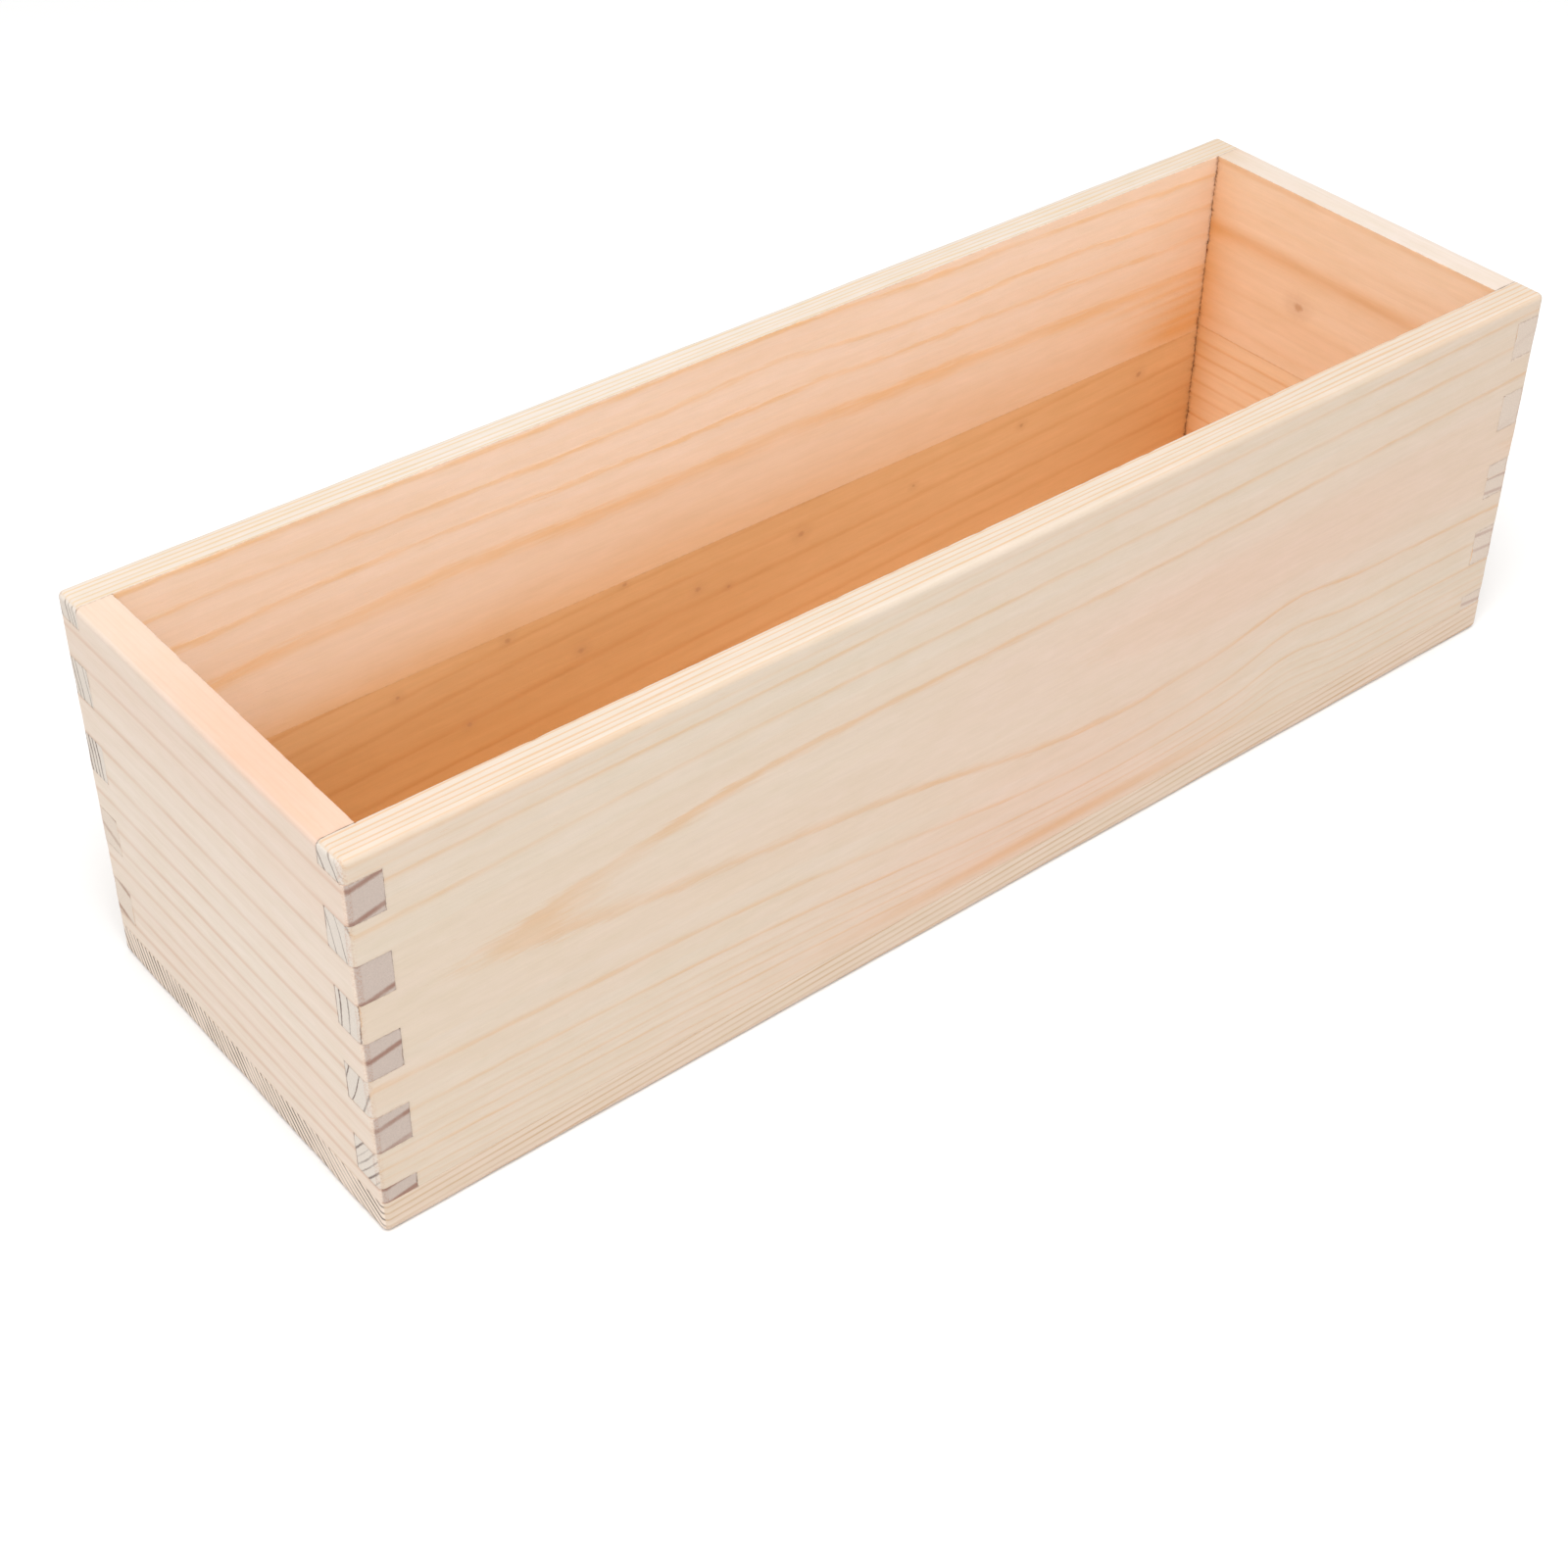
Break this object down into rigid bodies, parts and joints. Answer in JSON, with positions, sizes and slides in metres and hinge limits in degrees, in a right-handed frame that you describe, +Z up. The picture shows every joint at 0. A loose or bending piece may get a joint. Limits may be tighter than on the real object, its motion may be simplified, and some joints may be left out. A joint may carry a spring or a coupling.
{
  "type": "soap loaf mould",
  "caption": "Open rectangular wooden box with finger-jointed corners on a flush bottom board, for casting a loaf of soap in a liner.",
  "frame": {"origin": "middle of the box's footprint, on the underside of the bottom board", "axes": "+X along the box's length towards the right end, -Y towards the front side, +Z up out of the open top"},
  "size_m": [0.28, 0.09, 0.0815],
  "materials": {
    "front_side_pine": "bare planed pine, fine sanded, pale with a pink tint",
    "back_upper_pine": "bare planed pine, fine sanded, salmon tan",
    "back_lower_pine": "bare planed pine, fine sanded, orange with small knots",
    "left_end_pine": "bare planed pine, fine sanded, straight quarter grain",
    "right_upper_pine": "bare planed pine, fine sanded, one dark knot",
    "right_lower_pine": "bare planed pine, fine sanded, straight grain",
    "bottom_pine": "bare planed pine, sawn end grain at the ends"
  },
  "bodies": {
    "root": {"front_side": "front_side_pine", "back_side_upper_stave": "back_upper_pine", "back_side_lower_stave": "back_lower_pine", "left_end": "left_end_pine", "right_end_upper_stave": "right_upper_pine", "right_end_lower_stave": "right_lower_pine", "bottom_board": "bottom_pine"}
  },
  "joints": []
}
